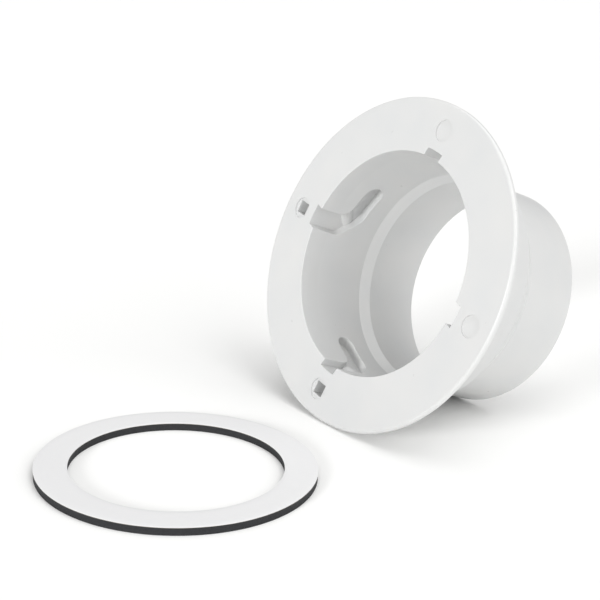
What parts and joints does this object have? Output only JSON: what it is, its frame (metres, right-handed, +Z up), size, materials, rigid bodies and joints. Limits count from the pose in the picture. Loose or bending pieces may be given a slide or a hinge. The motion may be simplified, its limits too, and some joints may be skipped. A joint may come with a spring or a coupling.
{
  "type": "toilet flange",
  "caption": "Round closet flange with twist-lock slots inside its mouth and a pipe socket behind, lying beside its loose self-adhesive foam ring gasket.",
  "frame": {"origin": "middle of the footprint of the flange and its gasket, on the floor", "axes": "+Z up; the flange's axis lies in the YZ plane and its mouth faces -Y and a little up; the gasket lies flat towards -Y"},
  "size_m": [0.178, 0.2954, 0.1677],
  "materials": {
    "white_moulding": "satin white moulded plastic",
    "black_foam": "closed-cell foam, matt black",
    "adhesive": "tacky film",
    "liner_paper": "coated release paper"
  },
  "bodies": {
    "flange": {"flange_body": "white_moulding"},
    "gasket": {"gasket_foam": "black_foam", "adhesive_film": "adhesive"},
    "liner": {"release_liner": "liner_paper"}
  },
  "joints": [
    {"name": "gasket_lift", "type": "slide", "parent": "flange", "child": "gasket", "axis": [0, 0, 1], "range_m": [0, 0.18]},
    {"name": "liner_lift", "type": "slide", "parent": "gasket", "child": "liner", "axis": [0, 0, 1], "range_m": [0, 0.18]}
  ]
}
